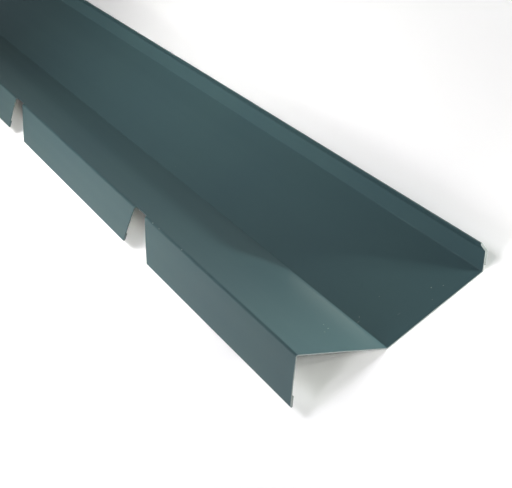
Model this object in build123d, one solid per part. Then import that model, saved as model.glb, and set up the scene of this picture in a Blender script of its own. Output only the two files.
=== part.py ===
from build123d import *
from math import cos, radians, sin, tan
import os

# Sheet stock, millimetres
sheet_thickness = 0.6
bend_inner_radius = 1.0
hem_gap = 0.3
stock_length = 2000.0

# Widths between the sharp corners of the painted face
leg_width = 32.8
middle_band_width = 59.0
wide_band_width = 73.0
upstand_width = 12.4
lip_width = 6.2

# Hems: the foot's is folded behind the leg, the lip's runs on down the back of the upstand
foot_hem_width = 7.0
return_hem_width = 8.2

# Angles between neighbouring flats, degrees
leg_to_band_turn = 90.0
band_to_band_turn = 37.8
wide_band_to_upstand_turn = 52.2
upstand_to_lip_turn = 42.0
hem_turn = 180.0

# Notches that let the ribs of the roof sheet pass through the leg
notch_pitch = 333.3
first_notch_from_end = 274.5
notch_mouth_width = 53.0
notch_crest_width = 22.0
notch_crest_shift = 4.0
notch_crest_radius = 2.0
notch_mouth_radius = 1.5
least_last_notch_from_end = 50.0

bend_outer_radius = bend_inner_radius + sheet_thickness
hem_outer_radius = hem_gap / 2 + sheet_thickness
back_bend_inner_radius = bend_outer_radius + hem_gap
leg_setback = bend_outer_radius * tan(radians(leg_to_band_turn) / 2)


def setback(face_radius, turn):
    """Distance from a sharp corner to where the flat ends."""
    return face_radius * tan(radians(turn) / 2)


def section_steps():
    """Flats and bends from the foot hem's raw edge to the return hem's raw edge.

    A flat is ("flat", length). A bend is ("bend", inner radius, turn), and a turn
    to the right, which has the painted face outside, is negative.
    """
    valley_setback = setback(bend_inner_radius, band_to_band_turn)
    upstand_setback = setback(bend_inner_radius, wide_band_to_upstand_turn)
    lip_setback = setback(bend_inner_radius, upstand_to_lip_turn)
    lip_flat = lip_width - lip_setback - hem_outer_radius
    return [
        ("flat", foot_hem_width - hem_outer_radius),
        ("bend", hem_gap / 2, -hem_turn),
        ("flat", leg_width - hem_outer_radius - leg_setback),
        ("bend", bend_inner_radius, -leg_to_band_turn),
        ("flat", middle_band_width - leg_setback - valley_setback),
        ("bend", bend_inner_radius, band_to_band_turn),
        ("flat", wide_band_width - valley_setback - upstand_setback),
        ("bend", bend_inner_radius, wide_band_to_upstand_turn),
        ("flat", upstand_width - upstand_setback - lip_setback),
        ("bend", bend_inner_radius, upstand_to_lip_turn),
        ("flat", lip_flat),
        ("bend", hem_gap / 2, -hem_turn),
        ("flat", lip_flat),
        ("bend", back_bend_inner_radius, -upstand_to_lip_turn),
        ("flat", return_hem_width),
    ]


def trace_side(start, heading, painted_side):
    """Draws one side of the section and returns the start points of its steps."""
    point = start
    points = [point]
    for step in section_steps():
        direction = Vector(cos(radians(heading)), sin(radians(heading)))
        if step[0] == "flat":
            point = Line(point, point + direction * step[1]) @ 1
        else:
            inner_radius, turn = step[1:]
            face_is_outside = turn < 0
            radius = inner_radius
            if face_is_outside == painted_side:
                radius += sheet_thickness
            point = JernArc(point, direction, radius, turn) @ 1
            heading += turn
        points.append(point)
    return points


# Section, drawn with the wide band level as it lies on the floor
hem_heading = -90.0 - band_to_band_turn
hem_side = Vector(cos(radians(hem_heading + 90)), sin(radians(hem_heading + 90)))
back_start = Vector(0, 0)
painted_start = back_start + hem_side * sheet_thickness

with BuildSketch(Plane.YZ) as section:
    with BuildLine():
        painted_points = trace_side(painted_start, hem_heading, True)
        back_points = trace_side(back_start, hem_heading, False)
        Line(painted_points[0], back_points[0])
        Line(painted_points[-1], back_points[-1])
    make_face()

# Plane of the leg's painted face: X runs along the stock and Y from the foot up the leg
leg_steps_before = 2
foot_tangent = painted_points[leg_steps_before]
leg_heading = radians(hem_heading + hem_turn)
leg_up = Vector(0, cos(leg_heading), sin(leg_heading))
foot_point = Vector(0, foot_tangent.X, foot_tangent.Y) - leg_up * hem_outer_radius
leg_plane = Plane(origin=foot_point, x_dir=(1, 0, 0), z_dir=Vector(1, 0, 0).cross(leg_up))

# Outline of one notch, open below the foot. It is cut in as far as the hem and the leg's bend
# reach, so that its crest is the front edge of the middle band.
notch_height = leg_width + sheet_thickness
hemmed_thickness = 2 * sheet_thickness + hem_gap
notch_depth = max(hemmed_thickness, leg_setback)
cutter_skirt = 4.0

with BuildSketch() as notch:
    half_mouth = notch_mouth_width / 2
    crest_near = notch_crest_shift + notch_crest_width / 2
    crest_far = notch_crest_shift - notch_crest_width / 2
    with BuildLine():
        Polyline(
            (half_mouth + cutter_skirt, -cutter_skirt),
            (half_mouth + cutter_skirt, 0),
            (half_mouth, 0),
            (crest_near, notch_height),
            (crest_far, notch_height),
            (-half_mouth, 0),
            (-half_mouth - cutter_skirt, 0),
            (-half_mouth - cutter_skirt, -cutter_skirt),
            close=True,
        )
    make_face()
    crest_corners = notch.vertices().group_by(Axis.Y)[-1]
    fillet(crest_corners, notch_crest_radius)
    foot_corners = notch.vertices().group_by(Axis.Y)[1].sort_by(Axis.X)
    fillet(foot_corners[1:-1], notch_mouth_radius)

# Notch centres, counted from the end of the stock at +X
last_centre = stock_length - least_last_notch_from_end
notch_count = int((last_centre - first_notch_from_end) // notch_pitch) + 1
notch_centres = [
    stock_length / 2 - first_notch_from_end - index * notch_pitch
    for index in range(notch_count)
]

with BuildPart() as flashing:
    extrude(section.sketch, amount=stock_length / 2, both=True)
    for centre in notch_centres:
        with BuildSketch(leg_plane.offset(sheet_thickness)):
            with Locations((centre, 0)):
                add(notch.sketch)
        extrude(amount=-notch_depth - sheet_thickness, mode=Mode.SUBTRACT)

# Origin under the middle of the stock, at floor level
box = flashing.part.bounding_box()
to_floor = Location((-box.center().X, -box.center().Y, -box.min.Z))
flashing_sheet = to_floor * flashing.part

os.makedirs("parts", exist_ok=True)
export_step(flashing_sheet, "parts/flashing_sheet.step")
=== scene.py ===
from math import ceil, pi, radians, sin

import bmesh
import bpy
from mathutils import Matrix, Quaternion, Vector, noise


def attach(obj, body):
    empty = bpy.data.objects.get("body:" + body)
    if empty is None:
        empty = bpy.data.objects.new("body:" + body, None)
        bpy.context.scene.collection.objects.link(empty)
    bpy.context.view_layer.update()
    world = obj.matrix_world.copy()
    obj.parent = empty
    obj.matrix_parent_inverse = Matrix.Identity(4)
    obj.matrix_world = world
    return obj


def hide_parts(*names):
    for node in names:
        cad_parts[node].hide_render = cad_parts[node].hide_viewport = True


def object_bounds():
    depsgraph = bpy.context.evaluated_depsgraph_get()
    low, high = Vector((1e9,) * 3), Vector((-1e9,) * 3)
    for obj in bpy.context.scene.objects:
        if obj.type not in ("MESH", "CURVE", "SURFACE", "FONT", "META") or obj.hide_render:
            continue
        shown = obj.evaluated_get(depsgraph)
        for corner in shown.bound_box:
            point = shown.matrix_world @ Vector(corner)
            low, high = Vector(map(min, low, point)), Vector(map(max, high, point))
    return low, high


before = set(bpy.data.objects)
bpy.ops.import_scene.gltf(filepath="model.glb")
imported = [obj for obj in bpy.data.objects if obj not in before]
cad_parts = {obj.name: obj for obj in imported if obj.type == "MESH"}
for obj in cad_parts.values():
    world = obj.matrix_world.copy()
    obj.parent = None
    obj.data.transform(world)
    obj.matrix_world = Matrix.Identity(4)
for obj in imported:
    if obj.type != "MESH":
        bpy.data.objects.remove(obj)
cad_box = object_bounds()
footprint_corner = (cad_box[1][0], cad_box[1][1], 0.0)

# Camera, in metres, degrees and, for the lens and the sensor's width, millimetres
camera_place = (1.7160, -0.14635, 0.5187)
camera_aim = (0.8070, -0.00885, 0.0)
camera_roll = 33.82
camera_lens = 107.06
camera_sensor = 36.0
camera_reach = 100.0

# Sheet, in metres and radians
along_stock = Vector((1, 0, 0))
weld_distance = 1e-7
coplanar_turn = radians(0.05)
smooth_turn = radians(30)
least_flat_area = 0.001
most_flat_lean = 0.1
cell_length = 0.010
cell_width = 0.008

# Crown of the flats, in metres. Flats that look other ways use rows of the noise that lie a gap apart,
# which is in the noise's own units
crown_height = 0.00030
crown_least_width = 0.020
crown_wave = 0.35
crown_row_gap = 5.0

# Order of the sheet's materials
PAINTED, BACKING, CUT = 0, 1, 2

# Sockets of the colour mix node: factor, first colour, second colour and result
MIX_FACTOR, MIX_FIRST, MIX_SECOND, MIX_RESULT = 0, 6, 7, 2

# Noise: the detail of each kind, the span that nearly all values lie in, and those that show as wear
fine_detail = 2.0
broad_detail = 3.0
stain_detail = 4.0
noise_span = (0.3, 0.7)
stain_span = (0.4, 0.7)
smear_span = (0.35, 0.7)

# Paint. A scale is features to the metre, and streaks have one each along X, Y and Z
paint_colour = (0.033, 0.067, 0.078, 1.0)
paint_drift_colour = (0.036, 0.072, 0.080, 1.0)
paint_specular = 0.35
paint_roughness = (0.42, 0.47)
paint_streak_scales = (0.8, 55.0, 55.0)
paint_drift_scale = 9.0
paint_peel_scale = 850.0
paint_peel_strength = 0.25
peel_depth = 0.00003

# Dust on the paint: cells to the metre, a speck's radius, the share of cells with one, and its cover
speck_colour = (0.30, 0.33, 0.29, 1.0)
dust_scale = 70.0
dust_radius = 0.00045
dust_share = 0.16
dust_cover = 0.7

# Backing coat
backing_colour = (0.30, 0.32, 0.31, 1.0)
backing_stain_colour = (0.24, 0.255, 0.245, 1.0)
backing_roughness = (0.48, 0.58)
backing_streak_scales = (1.5, 90.0, 90.0)
backing_streak_cover = 0.5
backing_stain_scale = 14.0
backing_stain_cover = 0.7
backing_peel_scale = 700.0
backing_peel_strength = 0.3

# Cut edges
edge_colour = (0.31, 0.34, 0.345, 1.0)
edge_stain_colour = (0.22, 0.245, 0.250, 1.0)
edge_roughness = (0.26, 0.38)
edge_smear_scale = 420.0
edge_smear_depth = 0.00008
edge_smear_strength = 0.4

# Marks on the paint: middle, turn in plan in degrees, half length and half width. A mark fades out
# over its rim, which is given in shares of its half sizes
chip_colour = (0.42, 0.45, 0.42, 1.0)
mark_depth = 0.002
mark_rim = (0.6, 1.0)
chips = (
    ((0.756, -0.0541, 0.0363), 0, 0.0009, 0.0004),
    ((0.769, -0.0541, 0.0363), 0, 0.0006, 0.0003),
    ((0.814, -0.0541, 0.0363), 0, 0.0008, 0.0003),
)
fibres = (
    ((0.9568, -0.0037, 0.0010), -30, 0.0012, 0.00014),
    ((0.9603, -0.0065, 0.0010), 88, 0.0012, 0.00014),
    ((0.9805, 0.0131, 0.0006), 83, 0.0012, 0.00011),
)
grains = (
    ((0.9803, 0.0385, 0.0006), 0, 0.00048, 0.00048),
    ((0.9864, 0.0439, 0.0006), 0, 0.00035, 0.00035),
    ((0.9532, 0.0143, 0.0006), 0, 0.00028, 0.00028),
    ((0.9905, 0.0326, 0.0006), 0, 0.00028, 0.00028),
    ((0.9654, -0.0250, 0.0138), 0, 0.00045, 0.00045),
    ((0.9702, -0.0287, 0.0167), 0, 0.00035, 0.00035),
    ((0.9589, -0.0249, 0.0137), 0, 0.00035, 0.00035),
)

# Floor: its colour for bounced light and as the camera sees it, half its side, and how far past
# the sheet's footprint it starts and ends fading to the background
floor_colour = (0.90, 0.90, 0.90, 1.0)
floor_seen_colour = (0.960, 0.952, 0.985, 1.0)
background_colour = (1.0, 1.0, 1.0, 1.0)
floor_half_side = 12.0
floor_fade_span = (0.08, 0.32)

# Lamps. Each has its place, the point it faces, its width and height in metres, its warmth, the
# level that it alone gives a white card that it faces and, where it is a beam, its spread in degrees
world_level = 0.10
near_half = (0.80, 0.0, 0.0)
lamps = {
    "side": dict(
        place=(1.218, 0.193, 0.016), target=near_half, size=(0.016, 0.016), warmth=0.09, level=1.02
    ),
    "side_low": dict(
        place=(1.70, 0.458, 0.014), target=near_half, size=(0.04, 0.04), warmth=0.09, level=0.74
    ),
    "side_high": dict(
        place=(1.543, 0.325, 0.068), target=near_half, size=(0.036, 0.036), warmth=0.09, level=1.14
    ),
    "front_low": dict(
        place=(0.95, -0.80, 0.26), target=(0.95, 0, 0), size=(0.35, 0.35), warmth=0.06, level=0.22
    ),
    "front_beam": dict(
        place=(0.95, -0.90, 0.40), target=(0.42, -0.06, 0), size=(0.3, 0.3), warmth=0.14, level=0.066,
        spread=60,
    ),
    "front_high": dict(
        place=(1.49, -1.20, 0.74), target=near_half, size=(0.5, 0.5), warmth=0.0, level=0.37
    ),
    "front_far": dict(
        place=(-0.50, -0.75, 0.55), target=(0, 0, 0), size=(0.35, 0.35), warmth=0.0, level=0.04
    ),
    "above_end": dict(
        place=(0.90, -0.25, 0.70), target=(0.90, 0, 0), size=(0.35, 0.35), warmth=-0.04, level=0.33
    ),
    "above_middle": dict(
        place=(0.50, -0.20, 0.80), target=(0.48, 0, 0), size=(0.3, 0.3), warmth=0.06, level=0.168,
        spread=78,
    ),
    "above_far": dict(
        place=(-0.30, -0.25, 0.60), target=(-0.30, 0, 0), size=(0.3, 0.3), warmth=0.0, level=0.10,
        spread=70,
    ),
    "above_far_end": dict(
        place=(-0.95, -0.20, 0.60), target=(-0.95, 0, 0), size=(0.4, 0.4), warmth=0.0, level=0.50,
        spread=116,
    ),
    "back": dict(
        place=(-0.40, 1.00, 0.33), target=near_half, size=(0.4, 0.4), warmth=0.0, level=0.018
    ),
    "valley_glow": dict(
        place=(0.93, -0.0025, 0.0014), target=(0.93, -0.0035, 0.030), size=(0.15, 0.010), warmth=0.12,
        level=0.85,
    ),
}


def new_material(name):
    """An empty node material, its tree and its output node."""
    material = bpy.data.materials.new(name)
    material.use_nodes = True
    tree = material.node_tree
    tree.nodes.clear()
    output = tree.nodes.new("ShaderNodeOutputMaterial")
    return material, tree, output


def put(tree, socket, value):
    """Links an output to a socket, or sets the socket to a plain value."""
    if isinstance(value, bpy.types.NodeSocket):
        tree.links.new(value, socket)
    else:
        socket.default_value = value


def object_place(tree):
    return tree.nodes.new("ShaderNodeTexCoord").outputs["Object"]


def vector_math(tree, operation, first, second=(0, 0, 0), result="Vector"):
    node = tree.nodes.new("ShaderNodeVectorMath")
    node.operation = operation
    put(tree, node.inputs[0], first)
    put(tree, node.inputs[1], second)
    return node.outputs[result]


def number_math(tree, operation, first, second):
    node = tree.nodes.new("ShaderNodeMath")
    node.operation = operation
    put(tree, node.inputs[0], first)
    put(tree, node.inputs[1], second)
    return node.outputs["Value"]


def ramp(tree, value, span, result):
    """Carries a value's span over to another one. Each is given by its two ends."""
    node = tree.nodes.new("ShaderNodeMapRange")
    put(tree, node.inputs["Value"], value)
    node.inputs["From Min"].default_value, node.inputs["From Max"].default_value = span
    node.inputs["To Min"].default_value, node.inputs["To Max"].default_value = result
    return node.outputs["Result"]


def mixed(tree, factor, first, second):
    node = tree.nodes.new("ShaderNodeMix")
    node.data_type = "RGBA"
    put(tree, node.inputs[MIX_FACTOR], factor)
    put(tree, node.inputs[MIX_FIRST], first)
    put(tree, node.inputs[MIX_SECOND], second)
    return node.outputs[MIX_RESULT]


def noise_value(tree, place, scale, detail):
    node = tree.nodes.new("ShaderNodeTexNoise")
    put(tree, node.inputs["Vector"], place)
    node.inputs["Scale"].default_value = scale
    node.inputs["Detail"].default_value = detail
    return node.outputs["Fac"]


def streaks_value(tree, place, scales):
    """Faint rolling streaks that run along the stock."""
    return noise_value(tree, vector_math(tree, "MULTIPLY", place, scales), 1.0, broad_detail)


def mark(tree, place, middle, turn, half_length, half_width):
    """1 inside one small mark and 0 outside it."""
    mapping = tree.nodes.new("ShaderNodeMapping")
    mapping.vector_type = "TEXTURE"
    put(tree, mapping.inputs["Vector"], place)
    mapping.inputs["Location"].default_value = middle
    mapping.inputs["Rotation"].default_value = (0, 0, radians(turn))
    mapping.inputs["Scale"].default_value = (half_length, half_width, mark_depth)
    distance = vector_math(tree, "LENGTH", mapping.outputs["Vector"], result="Value")
    return ramp(tree, distance, mark_rim, (1.0, 0.0))


def marks(tree, place, group):
    """1 inside any mark of a group and 0 outside them all."""
    covered = mark(tree, place, *group[0])
    for one in group[1:]:
        covered = number_math(tree, "MAXIMUM", covered, mark(tree, place, *one))
    return covered


def dust(tree, place):
    """Sparse round specks, some fainter than others: at most their cover on one and 0 beside it."""
    cells = tree.nodes.new("ShaderNodeTexVoronoi")
    put(tree, cells.inputs["Vector"], place)
    cells.inputs["Scale"].default_value = dust_scale
    radius = dust_radius * dust_scale
    spot = ramp(tree, cells.outputs["Distance"], (radius / 2, radius), (dust_cover, 0.0))
    pick = tree.nodes.new("ShaderNodeSeparateColor")
    put(tree, pick.inputs["Color"], cells.outputs["Color"])
    chosen = number_math(tree, "LESS_THAN", pick.outputs["Red"], dust_share)
    faint = number_math(tree, "MULTIPLY", chosen, pick.outputs["Green"])
    return number_math(tree, "MULTIPLY", spot, faint)


def bumped(tree, height, distance, strength):
    node = tree.nodes.new("ShaderNodeBump")
    put(tree, node.inputs["Height"], height)
    node.inputs["Distance"].default_value = distance
    node.inputs["Strength"].default_value = strength
    return node.outputs["Normal"]


def painted_steel():
    """Satin teal coil coating: fine orange peel, faint rolling streaks, dust, fibres, grains and chips."""
    material, tree, output = new_material("teal_paint")
    place = object_place(tree)
    streaks = streaks_value(tree, place, paint_streak_scales)
    drift = noise_value(tree, place, paint_drift_scale, broad_detail)
    peel = noise_value(tree, place, paint_peel_scale, fine_detail)
    loose = number_math(tree, "MAXIMUM", marks(tree, place, fibres), marks(tree, place, grains))

    tone = mixed(tree, ramp(tree, drift, noise_span, (0.0, 1.0)), paint_colour, paint_drift_colour)
    tone = mixed(tree, dust(tree, place), tone, speck_colour)
    tone = mixed(tree, loose, tone, speck_colour)
    tone = mixed(tree, marks(tree, place, chips), tone, chip_colour)

    shader = tree.nodes.new("ShaderNodeBsdfPrincipled")
    put(tree, shader.inputs["Base Color"], tone)
    put(tree, shader.inputs["Roughness"], ramp(tree, streaks, noise_span, paint_roughness))
    put(tree, shader.inputs["Normal"], bumped(tree, peel, peel_depth, paint_peel_strength))
    shader.inputs["Specular IOR Level"].default_value = paint_specular
    put(tree, output.inputs["Surface"], shader.outputs["BSDF"])
    return material


def backing_coat():
    """Thin grey service coat on the back, with rolling streaks and faint stains."""
    material, tree, output = new_material("backing_coat")
    place = object_place(tree)
    streaks = streaks_value(tree, place, backing_streak_scales)
    stains = noise_value(tree, place, backing_stain_scale, stain_detail)
    peel = noise_value(tree, place, backing_peel_scale, fine_detail)

    patches = ramp(tree, stains, stain_span, (0.0, backing_stain_cover))
    lines = ramp(tree, streaks, stain_span, (0.0, backing_streak_cover))
    worn = number_math(tree, "MAXIMUM", patches, lines)

    shader = tree.nodes.new("ShaderNodeBsdfPrincipled")
    put(tree, shader.inputs["Base Color"], mixed(tree, worn, backing_colour, backing_stain_colour))
    put(tree, shader.inputs["Roughness"], ramp(tree, streaks, noise_span, backing_roughness))
    put(tree, shader.inputs["Normal"], bumped(tree, peel, peel_depth, backing_peel_strength))
    put(tree, output.inputs["Surface"], shader.outputs["BSDF"])
    return material


def cut_edge():
    """Bare sheared steel with a zinc smear that changes along the edge."""
    material, tree, output = new_material("cut_edge")
    smear = noise_value(tree, object_place(tree), edge_smear_scale, broad_detail)
    worn = ramp(tree, smear, smear_span, (0.0, 1.0))

    shader = tree.nodes.new("ShaderNodeBsdfPrincipled")
    put(tree, shader.inputs["Base Color"], mixed(tree, worn, edge_colour, edge_stain_colour))
    put(tree, shader.inputs["Roughness"], ramp(tree, smear, noise_span, edge_roughness))
    put(tree, shader.inputs["Normal"], bumped(tree, smear, edge_smear_depth, edge_smear_strength))
    shader.inputs["Metallic"].default_value = 1.0
    put(tree, output.inputs["Surface"], shader.outputs["BSDF"])
    return material


def floor_material():
    """White floor that keeps the sheet's shadow and fades into a plain white background away from it."""
    material, tree, output = new_material("white_floor")
    away = vector_math(tree, "ABSOLUTE", object_place(tree))
    away = vector_math(tree, "SUBTRACT", away, footprint_corner)
    away = vector_math(tree, "MAXIMUM", away, (0, 0, 0))
    distance = vector_math(tree, "LENGTH", away, result="Value")

    rays = tree.nodes.new("ShaderNodeLightPath").outputs
    seen = rays["Is Camera Ray"]
    for name in ("Is Glossy Ray", "Is Transmission Ray"):
        seen = number_math(tree, "MAXIMUM", seen, rays[name])
    fade = number_math(tree, "MULTIPLY", seen, ramp(tree, distance, floor_fade_span, (0.0, 1.0)))

    shader = tree.nodes.new("ShaderNodeBsdfDiffuse")
    put(tree, shader.inputs["Color"], mixed(tree, rays["Is Camera Ray"], floor_colour, floor_seen_colour))
    plain = tree.nodes.new("ShaderNodeEmission")
    plain.inputs["Color"].default_value = background_colour
    plain.inputs["Strength"].default_value = 1.0
    blend = tree.nodes.new("ShaderNodeMixShader")
    put(tree, blend.inputs[0], fade)
    put(tree, blend.inputs[1], shader.outputs["BSDF"])
    put(tree, blend.inputs[2], plain.outputs["Emission"])
    put(tree, output.inputs["Surface"], blend.outputs["Shader"])
    return material


def grow(seed):
    """The faces that can be reached from the seed without crossing a sharp edge."""
    reached = {seed}
    waiting = [seed]
    while waiting:
        for edge in waiting.pop().edges:
            if edge.calc_face_angle(0) > smooth_turn:
                continue
            for face in edge.link_faces:
                if face not in reached:
                    reached.add(face)
                    waiting.append(face)
    return reached


def sort_faces(form):
    """Gives each face its material. Paint and backing each cover one side, up to the cut edges."""
    painted = grow(max(form.faces, key=lambda face: face.calc_area() * face.normal.z))
    backing = grow(max(form.faces, key=lambda face: -face.calc_area() * face.normal.z))
    for face in form.faces:
        if face in painted:
            face.material_index = PAINTED
        elif face in backing:
            face.material_index = BACKING
        else:
            face.material_index = CUT


def cut_along(form, faces, direction, spacing):
    """Divides faces into strips of even width, with cuts square to a direction."""
    heights = [vert.co.dot(direction) for face in faces for vert in face.verts]
    lowest = min(heights)
    width = max(heights) - lowest
    count = ceil(width / spacing)
    for index in range(1, count):
        height = lowest + width * index / count
        parts = set(faces)
        parts.update(edge for face in faces for edge in face.edges)
        parts.update(vert for face in faces for vert in face.verts)
        cut = bmesh.ops.bisect_plane(form, geom=list(parts), plane_co=direction * height, plane_no=direction)
        made = [part for part in cut["geom"] if isinstance(part, bmesh.types.BMFace)]
        faces = [face for face in made if face.calc_center_median().dot(direction) > height]


class Flat:
    """One flat of the sheet, which rises a little between its bends as thin sheet does."""

    def __init__(self, face):
        self.across = face.normal.cross(along_stock)
        self.rise = face.normal * (1 if face.material_index == PAINTED else -1)
        heights = [vert.co.dot(self.across) for vert in face.verts]
        self.start = min(heights)
        self.width = max(heights) - self.start

    def crown(self, place):
        """The rise at a place on the flat: none at its bends and the most half way between them."""
        if self.width < crown_least_width:
            return Vector((0, 0, 0))
        share = (place.dot(self.across) - self.start) / self.width
        swell = 0.5 + 0.5 * noise.noise(Vector((place.x / crown_wave, self.rise.y * crown_row_gap, 0)))
        return self.rise * (crown_height * swell * sin(pi * share) ** 2)


def is_flat(face):
    """True for the large faces between bends, and not for the cuts at the stock's ends."""
    return face.calc_area() > least_flat_area and abs(face.normal.x) < most_flat_lean


def crown_flats(form):
    """Divides the sheet into cells and lifts the middle of each wide flat."""
    flat_of = form.faces.layers.int.new("flat")
    flat_faces = [face for face in form.faces if is_flat(face)]
    flats = [Flat(face) for face in flat_faces]
    for number, face in enumerate(flat_faces, 1):
        face[flat_of] = number
    for flat, face in zip(flats, flat_faces):
        cut_along(form, [face], flat.across, cell_width)
    cut_along(form, form.faces[:], along_stock, cell_length)

    for vert in form.verts:
        numbers = [face[flat_of] for face in vert.link_faces if face[flat_of]]
        if numbers:
            vert.co += flats[numbers[0] - 1].crown(vert.co)
    form.faces.layers.int.remove(flat_of)


def fine_sheet(node):
    """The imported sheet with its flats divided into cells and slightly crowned."""
    form = bmesh.new()
    form.from_mesh(node.data)
    bmesh.ops.remove_doubles(form, verts=form.verts, dist=weld_distance)
    bmesh.ops.dissolve_limit(form, angle_limit=coplanar_turn, verts=form.verts, edges=form.edges)
    form.normal_update()
    sort_faces(form)
    crown_flats(form)
    form.normal_update()
    for edge in form.edges:
        edge.smooth = edge.calc_face_angle(0) < smooth_turn
    for face in form.faces:
        face.smooth = True

    mesh = bpy.data.meshes.new("flashing")
    form.to_mesh(mesh)
    form.free()
    for material in (painted_steel(), backing_coat(), cut_edge()):
        mesh.materials.append(material)
    piece = bpy.data.objects.new("flashing", mesh)
    bpy.context.scene.collection.objects.link(piece)
    normals = piece.modifiers.new("weighted_normals", "WEIGHTED_NORMAL")
    normals.keep_sharp = True
    return piece


def add_floor():
    signs = ((-1, -1), (1, -1), (1, 1), (-1, 1))
    corners = [(x * floor_half_side, y * floor_half_side, 0) for x, y in signs]
    mesh = bpy.data.meshes.new("floor")
    mesh.from_pydata(corners, [], [(0, 1, 2, 3)])
    mesh.materials.append(floor_material())
    floor = bpy.data.objects.new("floor", mesh)
    bpy.context.scene.collection.objects.link(floor)


def add_camera():
    data = bpy.data.cameras.new("camera")
    data.lens = camera_lens
    data.sensor_width = camera_sensor
    data.clip_end = camera_reach
    camera = bpy.data.objects.new("camera", data)
    view = Vector(camera_aim) - Vector(camera_place)
    upright = view.to_track_quat("-Z", "Y")
    camera.location = camera_place
    camera.rotation_mode = "QUATERNION"
    camera.rotation_quaternion = upright @ Quaternion((0, 0, 1), -radians(camera_roll))
    bpy.context.scene.collection.objects.link(camera)
    bpy.context.scene.camera = camera


def add_lamp(name, place, target, size, warmth, level, spread=180):
    away = Vector(place) - Vector(target)
    data = bpy.data.lights.new(name, "AREA")
    data.shape = "ELLIPSE"
    data.size, data.size_y = size
    data.spread = radians(spread)
    data.color = (1.0, 1.0, 1.0 - warmth)
    data.energy = level * (pi * away.length) ** 2
    lamp = bpy.data.objects.new(name, data)
    lamp.location = place
    lamp.rotation_mode = "QUATERNION"
    lamp.rotation_quaternion = away.to_track_quat("Z", "Y")
    lamp.visible_camera = False
    bpy.context.scene.collection.objects.link(lamp)


def add_world():
    world = bpy.data.worlds.new("studio")
    world.use_nodes = True
    background = world.node_tree.nodes["Background"]
    background.inputs["Color"].default_value = background_colour
    background.inputs["Strength"].default_value = world_level
    bpy.context.scene.world = world


sheet = fine_sheet(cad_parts["flashing_sheet"])
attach(sheet, "root")
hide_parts("flashing_sheet")
add_floor()
add_camera()
for name, setting in lamps.items():
    add_lamp(name, **setting)
add_world()
bpy.context.scene.view_settings.view_transform = "Standard"
